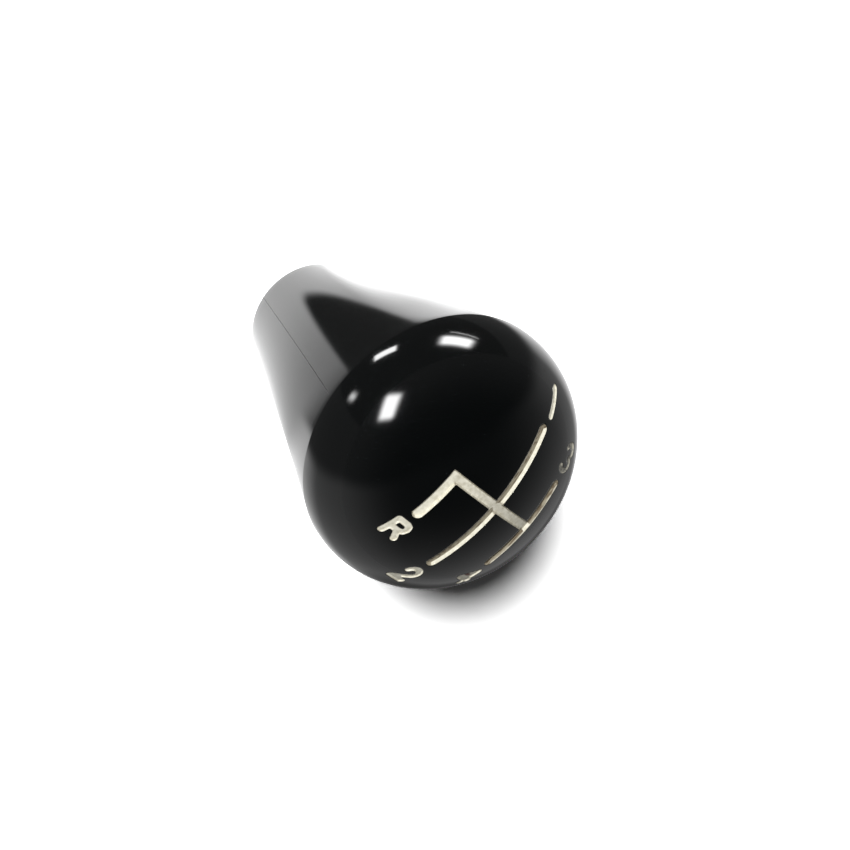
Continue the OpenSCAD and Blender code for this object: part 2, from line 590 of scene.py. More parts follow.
    def section(self, plan: Array) -> tuple[Array, Array, Array, Array]:
        """How deep the cuts and the enamel in them are under each plan point.

        A point's share of a wall is how far it is inside the lip over the wall's width, up
        to one on the flat floor. The cut is depth times root of (1 - (1 - share) squared),
        a steep wall with a rounded foot, and the enamel on it dips by dip times
        (1 - (1 - share) squared). The enamel of a gate line starts its dip further in at
        the left lip, by the shelf. The deepest cut counts. The reverse leg's outer corner
        has a square cut of its own, whose distance is the larger of its two offsets.

        Args:
            plan: Plan points, one (x, y) row each.

        Returns:
            The signed distance to the nearest lip, negative inside a cut; the direction
            away from that cut; the cut's depth; and the enamel's dip.
        """
        cuts, half, depth, dip = self._cuts()
        offset = self._offsets(plan, cuts)
        corner = plan - np.array([-self.column_pitch, 0.0])
        square = np.abs(corner).max(-1)
        across = np.where(np.abs(corner) == square[:, None], np.sign(corner), 0.0)
        distance = np.column_stack([np.linalg.norm(offset, axis=-1), square])
        away = np.concatenate([unit(offset + TINY), unit(across + TINY)[:, None]], 1)
        half, depth, dip = (np.append(size, size[0]) for size in (half, depth, dip))
        gap = distance - half
        nearest = gap.argmin(1)
        row = np.arange(len(plan))
        share = np.clip(-gap / (self.wall_share * half), 0, 1)
        cut = depth * np.sqrt(1 - (1 - share) ** 2)
        lines = len(self.line_dirt_and_shade)
        level = gap.copy()
        lean = offset[:, :lines, 0] / half[:lines]
        level[:, :lines] += self.enamel_shelf * np.clip(-2 * lean - 1, 0, 1)
        share = np.clip(-level / (self.wall_share * half), 0, 1)
        sink = dip * (1 - (1 - share) ** 2)
        return gap[row, nearest], away[row, nearest], cut.max(1), sink.max(1)


@dataclass(frozen=True)
class EngravedCrown:
    """Square grid over the crown, drawn onto the lips of the engraved lines."""

    profile: KnobProfile
    gate: ShiftGate
    step: float = 0.155 * MM
    reach: float = 19.95 * MM
    snaps: int = 3

    def grid(self) -> tuple[Array, Array, Array]:
        """Lay the grid, snap it to the lips and split it into triangles along them.

        A point is snapped if a grid line from it crosses a lip and it is the nearer end:
        it moves by its distance to the lip, so the lips run along the grid's edges.

        Returns:
            The plan points, the triangles, and whether each triangle is inside a cut.
        """
        count = math.ceil(self.reach / self.step) + 1
        line = np.arange(-count, count + 1) * self.step
        x, y = np.meshgrid(line, line, indexing="ij")
        plan = np.stack([x.ravel(), y.ravel()], -1)
        near = np.hypot(x, y) <= self.reach
        used = near[:-1, :-1] & near[1:, :-1] & near[1:, 1:] & near[:-1, 1:]
        index = np.arange(len(plan)).reshape(x.shape)
        corners = [index[:-1, :-1], index[1:, :-1], index[1:, 1:], index[:-1, 1:]]
        cells = np.stack(corners, -1)[used]
        gap, away, _, _ = self.gate.section(plan)
        on_lip = self._nearer_ends(gap.reshape(x.shape)).ravel()
        for _ in range(self.snaps):
            plan[on_lip] -= gap[on_lip, None] * away[on_lip]
            gap[on_lip], away[on_lip], _, _ = self.gate.section(plan[on_lip])
        side = np.where(on_lip, 0, np.sign(gap))
        first = np.linalg.norm(plan[cells[:, 0]] - plan[cells[:, 2]], axis=1)
        second = np.linalg.norm(plan[cells[:, 1]] - plan[cells[:, 3]], axis=1)
        splits = side[cells]
        straddle_13 = splits[:, 1] * splits[:, 3] < 0
        straddle_02 = splits[:, 0] * splits[:, 2] < 0
        along_02 = straddle_13 | (~straddle_02 & (first <= second))
        a = np.where(along_02[:, None], cells[:, [0, 1, 2]], cells[:, [0, 1, 3]])
        b = np.where(along_02[:, None], cells[:, [0, 2, 3]], cells[:, [1, 2, 3]])
        triangles = np.concatenate([a, b])
        lowest, highest = side[triangles].min(1), side[triangles].max(1)
        middle, _, _, _ = self.gate.section(plan[triangles].mean(1))
        inside = (lowest < 0) | ((highest <= 0) & (middle < 0))
        kept, flat = np.unique(triangles, return_inverse=True)
        return plan[kept], flat.reshape(triangles.shape), inside

    @staticmethod
    def _nearer_ends(gap: Array) -> Array:
        """Mark the nearer end of every grid line that crosses a lip.

        Args:
            gap: Signed distance to the lip at each grid point.

        Returns:
            True at each point to snap.
        """
        marked = np.zeros(gap.shape, bool)
        for low, high in ((np.s_[:-1, :], np.s_[1:, :]), (np.s_[:, :-1], np.s_[:, 1:])):
            crossing = (gap[low] < 0) != (gap[high] < 0)
            low_nearer = np.abs(gap[low]) <= np.abs(gap[high])
            marked[low] |= crossing & low_nearer
            marked[high] |= crossing & ~low_nearer
        return marked


def open_edges(triangles: Array) -> Array:
    """Edges that only one triangle uses, each running as it does in that triangle.

    Args:
        triangles: Triangles of an open surface.

    Returns:
        The edges, as (from, to) rows.
    """
    edges = triangles[:, [0, 1, 1, 2, 2, 0]].reshape(-1, 2)
    _, first, uses = np.unique(np.sort(edges, 1), axis=0, return_index=True, return_counts=True)
    return edges[first[uses == 1]]


def zip_rings(inner_angle: Array, outer_angle: Array) -> Array:
    """Triangles between two rings of points that are both sorted by angle.

    The steps of both rings are taken in order of their angle, and each makes a triangle
    with the point where the other ring has got to.

    Args:
        inner_angle: Angles of the inner ring's points, rising.
        outer_angle: Angles of the outer ring's points, rising.

    Returns:
        Triangles that face up; an outer point's index has the inner count added.
    """
    inner, outer = len(inner_angle), len(outer_angle)
    order = np.argsort(np.concatenate([inner_angle, outer_angle]), kind="stable")
    is_inner = order < inner
    inner_at = np.cumsum(is_inner) - 1
    outer_at = np.cumsum(~is_inner) - 1
    at_inner, at_outer = inner_at % inner, outer_at % outer
    before_inner = (inner_at - is_inner) % inner
    before_outer = (outer_at - ~is_inner) % outer
    first = np.where(is_inner, before_inner, at_inner)
    second = inner + np.where(is_inner, at_outer, before_outer)
    third = np.where(is_inner, at_inner, inner + at_outer)
    return np.stack([first, second, third], -1)


class Shader:
    """A material or node group under construction, with short calls for nodes and links."""

    def __init__(self, tree: bpy.types.NodeTree) -> None:
        """Start on a node tree, emptied first."""
        self.tree = tree
        tree.nodes.clear()

    def node(self, kind: str, **settings: object) -> bpy.types.Node:
        """Add a node and set its properties.

        Args:
            kind: The node's type.
            **settings: The properties' values by name.

        Returns:
            The node.
        """
        made = self.tree.nodes.new(kind)
        for name, value in settings.items():
            setattr(made, name, value)
        return made

    def link(self, source: Socket, target: Socket) -> None:
        """Join an output socket to an input socket."""
        self.tree.links.new(source, target)

    def feed(self, socket: Socket, value: object) -> None:
        """Link a socket to an input, or set the input to a plain value.

        Args:
            socket: The input.
            value: An output socket or a plain value.
        """
        if isinstance(value, Socket):
            self.link(value, socket)
        else:
            socket.default_value = value

    def math(self, operation: str, *values: object) -> Socket:
        """Add a Math node.

        Args:
            operation: The node's operation.
            *values: Its inputs, as sockets or numbers.

        Returns:
            The result.
        """
        made = self.node("ShaderNodeMath", operation=operation)
        for socket, value in zip(made.inputs, values):
            self.feed(socket, value)
        return made.outputs[0]

    def _measure(self, operation: str, vector: Socket, fixed: Point) -> Socket:
        """Add a Vector Math node that puts out a number.

        Args:
            operation: The node's operation.
            vector: Its first vector.
            fixed: Its second vector.

        Returns:
            The number.
        """
        made = self.node("ShaderNodeVectorMath", operation=operation)
        self.link(vector, made.inputs[0])
        made.inputs[1].default_value = fixed
        return made.outputs["Value"]

    def dot(self, vector: Socket, way: Point) -> Socket:
        """Dot product of a vector and a fixed direction."""
        return self._measure("DOT_PRODUCT", vector, way)

    def distance(self, vector: Socket, place: Point) -> Socket:
        """Distance from a point to a fixed place."""
        return self._measure("DISTANCE", vector, place)

    def scaled(self, vector: Socket, scale: Point) -> Socket:
        """Stretch a vector along each axis through a Mapping node.

        Args:
            vector: The vector to stretch.
            scale: The factor along each axis.

        Returns:
            The stretched vector.
        """
        made = self.node("ShaderNodeMapping")
        self.link(vector, made.inputs["Vector"])
        made.inputs["Scale"].default_value = scale
        return made.outputs[0]

    def ramp(
        self,
        value: Socket,
        low: float,
        high: float,
        to_low: object = 0.0,
        to_high: object = 1.0,
        smooth: bool = True,
    ) -> Socket:
        """Map a value from one range to another, smoothly and clamped.

        Args:
            value: The value to map.
            low: Where the range starts.
            high: Where the range ends.
            to_low: Result at low, as a socket or a number.
            to_high: Result at high, as a socket or a number.
            smooth: Whether the ends are eased.

        Returns:
            The mapped value.
        """
        kind = "SMOOTHSTEP" if smooth else "LINEAR"
        made = self.node("ShaderNodeMapRange", interpolation_type=kind)
        for socket, entry in zip(made.inputs[:5], (value, low, high, to_low, to_high)):
            self.feed(socket, entry)
        return made.outputs[0]

    def mix(self, share: object, first: object, second: object) -> Socket:
        """Mix two colours.

        Args:
            share: Share of the second colour, from 0 to 1.
            first: The first colour, as a socket or a plain value.
            second: The second colour, likewise.

        Returns:
            The mixed colour.
        """
        made = self.node("ShaderNodeMix", data_type="RGBA")
        for index, entry in zip(MIX_INPUTS, (share, first, second)):
            self.feed(made.inputs[index], entry)
        return made.outputs[MIX_RESULT]

    def noise(self, vector: Socket, scale: float, detail: float = 3.0) -> Socket:
        """Add a noise texture.

        Args:
            vector: Where the noise is looked up.
            scale: Its scale, in cells for each unit of the vector.
            detail: Its detail.

        Returns:
            The noise, from 0 to 1.
        """
        made = self.node("ShaderNodeTexNoise")
        self.link(vector, made.inputs["Vector"])
        made.inputs["Scale"].default_value = scale
        made.inputs["Detail"].default_value = detail
        return made.outputs[0]

    def shown(self, *kinds: RayKind) -> Socket:
        """Tell rays of some kinds from the rest.

        Args:
            *kinds: The kinds of ray.

        Returns:
            One where a ray is of any of the kinds, and nothing elsewhere.
        """
        path = self.node("ShaderNodeLightPath")
        share = path.outputs[kinds[0].value]
        for kind in kinds[1:]:
            share = self.math("MAXIMUM", share, path.outputs[kind.value])
        return share

    def put_out(self, skin: bpy.types.Node) -> None:
        """Link a shader node to a new Material Output node."""
        out = self.node("ShaderNodeOutputMaterial")
        self.link(skin.outputs[0], out.inputs["Surface"])


@dataclass(frozen=True)
class HandlingMarks:
    """The fine marks that handling leaves: uneven polish, hairlines and dust.

    A scale is in cells for each metre. A pair is where a ramp starts and where it ends.
    """

    name: str = "handling_marks"
    polish_scale: float = 160.0
    polish_detail: float = 4.0
    ripple_scale: float = 90.0
    hair_wave: tuple[tuple[str, float], ...] = (
        ("Scale", 210.0),
        ("Distortion", 26.0),
        ("Detail", 2.0),
        ("Detail Scale", 0.6),
    )
    wave_middle: float = 0.5
    hair_half_w: float = 0.02
    hair_patch_scale: float = 260.0
    hair_patches: Pair = (0.52, 0.66)
    speck_scale: float = 1100.0
    speck_edge: Pair = (0.05, 0.14)
    speck_patch_scale: float = 700.0
    speck_patches: Pair = (0.62, 0.68)

    def group(self) -> bpy.types.NodeTree:
        """Make the marks as a node group.

        Roughness = base + spread times a slow noise, plus dust and hairlines. Hairlines are
        where a warped wave crosses the middle of its range. Height is a slow ripple, less
        the hairlines.

        Returns:
            The group, with the outputs Roughness, Height and Dust.
        """
        group = bpy.data.node_groups.new(self.name, "ShaderNodeTree")
        made = Shader(group)
        group.interface.new_socket("Vector", in_out="INPUT", socket_type="NodeSocketVector")
        for side, names in (
            ("INPUT", ("Base", "Spread", "Hairlines", "Dust")),
            ("OUTPUT", ("Roughness", "Height", "Dust")),
        ):
            for name in names:
                group.interface.new_socket(name, in_out=side, socket_type="NodeSocketFloat")
        given = made.node("NodeGroupInput").outputs
        place = given["Vector"]
        polish = made.noise(place, self.polish_scale, self.polish_detail)
        ripple = made.noise(place, self.ripple_scale, 1.0)
        wave = made.node("ShaderNodeTexWave", wave_profile="SIN")
        made.link(place, wave.inputs["Vector"])
        for name, value in self.hair_wave:
            wave.inputs[name].default_value = value
        off_middle = made.math("SUBTRACT", wave.outputs["Fac"], self.wave_middle)
        thin = made.ramp(made.math("ABSOLUTE", off_middle), 0.0, self.hair_half_w, 1.0, 0.0)
        patchy = made.ramp(made.noise(place, self.hair_patch_scale, 2.0), *self.hair_patches)
        hair = made.math("MULTIPLY", made.math("MULTIPLY", thin, patchy), given["Hairlines"])
        specks = made.node("ShaderNodeTexVoronoi")
        made.link(place, specks.inputs["Vector"])
        specks.inputs["Scale"].default_value = self.speck_scale
        speck = made.ramp(specks.outputs["Distance"], *self.speck_edge, 1.0, 0.0)
        rare = made.ramp(made.noise(place, self.speck_patch_scale, 1.0), *self.speck_patches)
        dust = made.math("MULTIPLY", made.math("MULTIPLY", speck, rare), given["Dust"])
        uneven = made.math("MULTIPLY", polish, given["Spread"])
        rough = made.math("ADD", made.math("ADD", given["Base"], uneven), dust)
        results = made.node("NodeGroupOutput").inputs
        made.link(made.math("ADD", rough, hair), results["Roughness"])
        made.link(made.math("SUBTRACT", ripple, hair), results["Height"])
        made.link(dust, results["Dust"])
        return group


@dataclass(frozen=True)
class Finish:
    """A surface finish: base colour and gloss, with the handling marks over it."""

    name: str
    colour: Colour
    roughness: float
    spread: float
    hairlines: float
    dust: float
    ior: float = 1.5
    metallic: float = 0.0
    marks: MarkKind = MarkKind.POLISHED
    relief: float = 0.002 * MM

    def start(self) -> tuple[Shader, Socket, bpy.types.Node, bpy.types.Node]:
        """Make the material up to its shader, with the handling marks linked.

        Returns:
            The shader builder, the Object coordinates, the marks and the Principled node.
        """
        material = bpy.data.materials.new(self.name)
        material.use_nodes = True
        made = Shader(material.node_tree)
        place = made.node("ShaderNodeTexCoord").outputs["Object"]
        handling = HandlingMarks()
        known = bpy.data.node_groups.get(handling.name) or handling.group()
        marks = made.node("ShaderNodeGroup", node_tree=known)
        made.link(made.scaled(place, self.marks.value), marks.inputs["Vector"])
        for name, value in (
            ("Base", self.roughness),
            ("Spread", self.spread),
            ("Hairlines", self.hairlines),
            ("Dust", self.dust),
        ):
            marks.inputs[name].default_value = value
        skin = made.node("ShaderNodeBsdfPrincipled")
        skin.inputs["Base Color"].default_value = self.colour
        skin.inputs["IOR"].default_value = self.ior
        skin.inputs["Metallic"].default_value = self.metallic
        made.link(marks.outputs["Roughness"], skin.inputs["Roughness"])
        made.put_out(skin)
        return made, place, marks, skin

    def bump(self, made: Shader, skin: bpy.types.Node, height: Socket) -> None:
        """Link a height to the shader's normal through a Bump node.

        Args:
            made: The shader builder.
            skin: The Principled node.
            height: The height, in units of the relief.
        """
        relief = made.node("ShaderNodeBump")
        relief.inputs["Strength"].default_value = 1.0
        relief.inputs["Distance"].default_value = self.relief
        made.link(height, relief.inputs["Height"])
        made.link(relief.outputs[0], skin.inputs["Normal"])

    def material(self) -> bpy.types.Material:
        """Make the material: one colour, with the marks' roughness and height.

        Returns:
            The material.
        """
        made, _, marks, skin = self.start()
        self.bump(made, skin, marks.outputs["Height"])
        return bpy.data.materials[self.name]


@dataclass(frozen=True)
class GlossMoulding(Finish):
    """Polished black thermoset with a faint parting line down each side of the stem."""

    name: str = "gloss_black_moulding"
    colour: Colour = (0.0022, 0.0027, 0.0028, 1.0)
    dust_colour: Colour = (0.05, 0.05, 0.05, 1.0)
    roughness: float = 0.07
    spread: float = 0.05
    hairlines: float = 0.02
    dust: float = 0.06
    ior: float = 1.6
    parting_azimuth_deg: float = -172.0
    parting_half_w: float = 0.14 * MM
    parting_roughness: float = 0.42
    parting_rise: float = 4.0
    parting_top: float = 44 * MM
    parting_fade: float = 2 * MM

    def material(self) -> bpy.types.Material:
        """Make the material: marks, then a fine matt line in the mould's parting plane.

        The line is a ramp of the distance from the plane, which is the size of the dot
        product of the place and the plane's normal. It fades out below the crease.

        Returns:
            The material.
        """
        made, place, marks, skin = self.start()
        angle = math.radians(self.parting_azimuth_deg)
        aside = made.math("ABSOLUTE", made.dot(place, (-math.sin(angle), math.cos(angle), 0.0)))
        near = made.ramp(aside, 0.0, self.parting_half_w, 1.0, 0.0)
        height = made.dot(place, (0.0, 0.0, 1.0))
        fade_from = self.parting_top - self.parting_fade
        low = made.ramp(height, fade_from, self.parting_top, 1.0, 0.0)
        line = made.math("MULTIPLY", near, low)
        raised = made.math("MULTIPLY", line, self.parting_rise)
        self.bump(made, skin, made.math("ADD", marks.outputs["Height"], raised))
        matt = made.math("MULTIPLY", line, self.parting_roughness)
        rough = made.math("ADD", marks.outputs["Roughness"], matt)
        made.link(rough, skin.inputs["Roughness"])
        dusty = made.mix(marks.outputs["Dust"], self.colour, self.dust_colour)
        made.link(dusty, skin.inputs["Base Color"])
        return bpy.data.materials[self.name]


@dataclass(frozen=True)
class WipedEnamel(Finish):
    """Cream enamel wiped into the lines, taupe and streaked where dirt and painted shade lie.

    One brown stain lies on it, and one figure is partly rubbed off. A scale is in cells for
    each metre. A pair is where a ramp starts and where it ends.
    """

    name: str = "wiped_enamel"
    colour: Colour = (0.86, 0.83, 0.71, 1.0)
    roughness: float = 0.42
    spread: float = 0.2
    hairlines: float = 0.05
    dust: float = 0.1
    relief: float = 0.02 * MM
    patch: Colour = (0.72, 0.69, 0.56, 1.0)
    patch_scale: float = 1500.0
    patch_shares: Pair = (0.3, 0.75)
    # Taupe is painted shade of the lines' shaded side with dirt in it; grime streaks it darker.
    taupe: Colour = (0.31, 0.275, 0.20, 1.0)
    grime: Colour = (0.12, 0.085, 0.05, 1.0)
    streak_stretch: Point = (1.0, 0.06, 1.0)
    streak_scale: float = 4200.0
    streak_shares: Pair = (0.46, 0.62)
    dirt_and_shade_ragged: float = 0.3
    dirt_and_shade_shares: Pair = (0.2, 0.75)
    dirt_and_shade_most: float = 0.95
    stain: Colour = (0.13, 0.035, 0.02, 1.0)
    stain_place: Point = (8.8 * MM, -11.36 * MM, 59.36 * MM)
    stain_stretch: Point = (0.4, 1.0, 0.4)
    stain_r: float = 0.46 * MM
    stain_core: float = 0.4
    stain_most: float = 0.95
    worn: Colour = (0.07, 0.07, 0.065, 1.0)
    worn_place: Point = (9.2 * MM, 11.8 * MM, 59.2 * MM)
    worn_r: float = 3.2 * MM
    worn_core: float = 0.7
    worn_middle: Pair = (0.15, 0.45)
    worn_patches: Pair = (0.35, 0.6)
    worn_share: Pair = (0.9, 0.5)

    def material(self) -> bpy.types.Material:
        """Make the material: uneven cream, then dirt and painted shade, then the rubbed figure,
        then the stain.

        The mask of dirt and painted shade is the mesh's own plus a share of the patches' noise,
        through a ramp.
        The rubbed share is the larger of a bare middle and a patchy ring, out to its edge.
        The stain is round in coordinates that are scaled by its stretch.

        Returns:
            The material.
        """
        made, place, marks, skin = self.start()
        dirt_and_shade = made.node("ShaderNodeAttribute", attribute_name="dirt_and_shade").outputs["Fac"]
        patches = made.noise(place, self.patch_scale)
        cream = made.mix(made.ramp(patches, *self.patch_shares), self.colour, self.patch)
        streak = made.noise(made.scaled(place, self.streak_stretch), self.streak_scale, 1.0)
        # Painted shade with dirt: taupe streaked with grime, mixed in by the mask below.
        dirt_and_shade_tone = made.mix(made.ramp(streak, *self.streak_shares), self.taupe, self.grime)
        ragged = made.math("ADD", dirt_and_shade, made.math("MULTIPLY", patches, self.dirt_and_shade_ragged))
        dirt_and_shade_amount = made.ramp(ragged, *self.dirt_and_shade_shares, 0.0, self.dirt_and_shade_most)
        lined = made.mix(dirt_and_shade_amount, cream, dirt_and_shade_tone)
        away = made.distance(place, self.worn_place)
        rubbed = made.ramp(away, self.worn_core * self.worn_r, self.worn_r, 1.0, 0.0)
        core_r, ring_r = (share * self.worn_r for share in self.worn_middle)
        middle = made.ramp(away, core_r, ring_r, 1.0, 0.0)
        patchy = made.ramp(patches, *self.worn_patches, *self.worn_share)
        thin = made.math("MULTIPLY", rubbed, made.math("MAXIMUM", middle, patchy))
        faded = made.mix(thin, lined, self.worn)
        centre = tuple(a * b for a, b in zip(self.stain_place, self.stain_stretch))
        aside = made.distance(made.scaled(place, self.stain_stretch), centre)
        core_r = self.stain_core * self.stain_r
        spot = made.ramp(aside, core_r, self.stain_r, self.stain_most, 0.0)
        made.link(made.mix(spot, faded, self.stain), skin.inputs["Base Color"])
        self.bump(made, skin, made.math("ADD", marks.outputs["Height"], patches))
        return bpy.data.materials[self.name]


@dataclass(frozen=True)
class TurnedBrass(Finish):
    """Bare brass with the fine rings that turning leaves."""

    name: str = "turned_brass"
    colour: Colour = (0.71, 0.50, 0.23, 1.0)
    roughness: float = 0.24
    spread: float = 0.16
    hairlines: float = 0.1
    dust: float = 0.05
    metallic: float = 1.0
    marks: MarkKind = MarkKind.TURNED
    relief: float = 0.004 * MM


@dataclass
class KnobMoulding:
    """The one-piece moulding: engraved crown, shoulder, stem, and the seat for the bush."""

    profile: KnobProfile
    seat: BushSeat
    crown: EngravedCrown
    rim_r: float = 20.4 * MM
    wall_step: float = 1.6 * MM
    inset: float = 0.006 * MM
    lathe: Lathe = field(default_factory=Lathe)
    finish: GlossMoulding = field(default_factory=GlossMoulding)

    def path(self) -> Array:
        """Half section below the crown: outside, end face and seat, up to the axis.

        Returns:
            The section's (r, z) points.
        """
        outside = self.profile.outside(self.rim_r) - np.array([self.inset, 0.0])
        walls = self.seat.outline(self.seat.gap, 0.0)
        top = np.array([[AXIS_R, walls[-1, 1]]])
        corners = np.vstack([outside[-1:], walls, top])
        return np.vstack([outside[:-1], divide(corners, self.wall_step)])

    def surface(self) -> Surface:
        """Join the engraved crown, the turned outside and the seat into one closed surface.

        The crown's stepped edge is zipped to the lathe's first ring, and a pole closes the
        seat on the axis. The crown's points outside the cuts, and that first ring, have the
        normals of the crown's own arcs.

        Returns:
            The moulding's surface.
        """
        plan, triangles, _ = self.crown.grid()
        gap, _, cut, _ = self.crown.gate.section(plan)
        head = self.profile.crown_point(plan, np.where(gap < -LIP, cut, 0.0))
        edge = np.unique(open_edges(triangles))
        edge = edge[np.argsort(np.arctan2(plan[edge, 1], plan[edge, 0]))]
        path = self.path()
        turned = self.lathe.points(path[:, 0], path[:, 1])
        first = len(head)
        ring = first + np.arange(self.lathe.sectors)
        seam = zip_rings(np.arctan2(plan[edge, 1], plan[edge, 0]), self.lathe.angles())
        seam = np.concatenate([edge, ring])[seam]
        pole = first + len(turned)
        walls = self.lathe.walls(len(path)) + first
        cap = self.lathe.fan(pole - self.lathe.sectors, pole, pole_first=False)
        points = np.vstack([head, turned, [[0.0, 0.0, path[-1, 1]]]])
        normals = np.zeros_like(points)
        known = np.append(np.flatnonzero(gap > LIP), ring)
        _, normals[known] = self.profile.crown(points[known, :2])
        return Surface(points, np.concatenate([triangles, seam, walls, cap]), normals)

    def build(self) -> bpy.types.Object:
        """Make the piece, dress it and put it in the CAD node's place.

        Returns:
            The piece.
        """
        piece = self.surface().object("moulding")
        piece.data.materials.append(self.finish.material())
        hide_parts("knob_body")
        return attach(piece, BODY)


@dataclass
class GateEnamel:
    """The enamel in the engraved lines: one closed film from the cuts' floor to their lips."""

    crown: EngravedCrown
    shrink: float = 0.012 * MM
    lip_band: float = 0.001 * MM
    lip_dip: float = 0.008 * MM
    under_lip: float = 0.03 * MM
    back_share: float = 0.96
    least: float = 0.01 * MM
    finish: WipedEnamel = field(default_factory=WipedEnamel)

    def surface(self) -> tuple[Surface, Array]:
        """Take the grid inside the lips twice, as the film's face and its back, and close it.

        The face dips by the enamel's section, and the back lies at a share of the cut's
        depth, just above its floor. Points on a lip draw in by the shrink, and a strip
        joins face and back along them.

        Returns:
            The film's surface, and the dirt and painted shade at each of its points, from 0 to
            1.
        """
        plan, triangles, inside = self.crown.grid()
        kept, flat = np.unique(triangles[inside], return_inverse=True)
        face = flat.reshape(-1, 3)
        plan = plan[kept]
        gap, away, cut, sink = self.crown.gate.section(plan)
        on_lip = gap > -self.lip_band
        plan = np.where(on_lip[:, None], plan - self.shrink * away, plan)
        top = np.where(on_lip, self.lip_dip, np.maximum(sink, self.lip_dip))
        bottom = np.where(on_lip, self.under_lip, self.back_share * cut)
        bottom = np.maximum(bottom, top + self.least)
        sheets = [self.crown.profile.crown_point(plan, depth) for depth in (top, bottom)]
        points = np.vstack(sheets)
        count = len(plan)
        start, end = open_edges(face).T
        under_start, under_end = start + count, end + count
        strip = [[start, under_start, end], [end, under_start, under_end]]
        strip = np.concatenate([np.stack(corners, -1) for corners in strip])
        back = face[:, ::-1] + count
        # Dirt and painted shade, the same for face and back.
        dirt_and_shade = np.tile(self.crown.gate.dirt_and_shade(plan), 2)
        return Surface(points, np.concatenate([face, back, strip])), dirt_and_shade

    def build(self) -> bpy.types.Object:
        """Make the piece, dress it and put it in the CAD node's place.

        Returns:
            The piece.
        """
        film, dirt_and_shade = self.surface()
        piece = film.object("enamel")
        # Attribute holding the mask of dirt and painted shade.
        dirt_and_shade_layer = piece.data.attributes.new("dirt_and_shade", "FLOAT", "POINT")
        dirt_and_shade_layer.data.foreach_set("value", dirt_and_shade.astype(np.float32))
        piece.data.materials.append(self.finish.material())
        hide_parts("gate_enamel")
        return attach(piece, BODY)


@dataclass
class ThreadedBush:
    """The brass bush, with the lever's thread cut in its hole."""

    seat: BushSeat
    pitch: float = 1.5 * MM
    minor_r: float = 5.25 * MM
    thread_depth: float = 0.72 * MM
    thread_h: float = 19 * MM
    thread_step: float = 0.1 * MM
    flank_deg: float = 30.0
    root_share: float = 1 / 16
    drill_half_angle_deg: float = 59.0
    tip_rings: int = 8
    tip_share: float = 0.9
    wall_step: float = 1.6 * MM
    lathe: Lathe = field(default_factory=lambda: Lathe(96))
    finish: TurnedBrass = field(default_factory=TurnedBrass)

    def thread(self, height: Array) -> Array:
        """Radius of the hole at each height and sector: a V thread that climbs one pitch a turn.

        The place along the pitch is (height / pitch - angle / 2 pi). The groove has its
        full depth at its root and closes along straight flanks, and it fades over one pitch
        at both ends.

        Args:
            height: Heights above the hole's mouth.

        Returns:
            The radii, one row for each height.
        """
        turn = height[:, None] / self.pitch - self.lathe.angles()[None, :] / (2 * np.pi)
        aside = np.abs(turn - np.round(turn)) * self.pitch
        root = self.pitch * self.root_share
        flank = self.thread_depth * math.tan(math.radians(self.flank_deg))
        groove = np.clip((root + flank - aside) / flank, 0, 1)
        start = np.clip(height / self.pitch, 0, 1)
        fade = start * np.clip((self.thread_h - height) / self.pitch, 0, 1)
        return self.minor_r + self.thread_depth * groove * fade[:, None]

    def surface(self) -> Surface:
        """Turn the bush from its top face round to the drill point, with poles at both ends.

        Below the thread the hole narrows along the drill's cone: radius = hole's radius
        times (1 - share) at height = thread's end + tip height times share.

        Returns:
            The bush's surface.
        """
        outline = self.seat.outline(0.0, self.seat.recess)[::-1]
        mouth_r = self.minor_r + self.seat.chamfer
        face = np.vstack([[[AXIS_R, outline[0, 1]]], outline, [[mouth_r, self.seat.recess]]])
        face = divide(face, self.wall_step)
        rise = np.arange(self.thread_step, self.thread_h, self.thread_step)
        cone = mouth_r - rise[:, None]
        hole = np.maximum(self.thread(rise), cone)
        tip_h = self.minor_r / math.tan(math.radians(self.drill_half_angle_deg))
        share = np.linspace(0, self.tip_share, self.tip_rings)
        tip_r, tip_z = self.minor_r * (1 - share), self.thread_h + tip_h * share
        sectors = self.lathe.sectors
        face_r, tip_r = (np.repeat(r[:, None], sectors, 1) for r in (face[:, 0], tip_r))
        radius = np.vstack([face_r, hole, tip_r])
        height = np.concatenate([face[:, 1], self.seat.recess + rise, self.seat.recess + tip_z])
        turned = self.lathe.points(radius, height)
        poles = [[0, 0, face[0, 1]], [0, 0, self.seat.recess + self.thread_h + tip_h]]
        count = len(turned)
        top = self.lathe.fan(0, count, pole_first=True)
        point = self.lathe.fan(count - sectors, count + 1, pole_first=False)
        walls = self.lathe.walls(len(height))
        return Surface(np.vstack([turned, poles]), np.concatenate([walls, top, point]))

    def build(self) -> bpy.types.Object:
        """Make the piece, dress it and put it in the CAD node's place.

        Returns:
            The piece.
        """
        piece = self.surface().object("bush")
        piece.data.materials.append(self.finish.material())
        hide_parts("threaded_bush")
        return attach(piece, BODY)


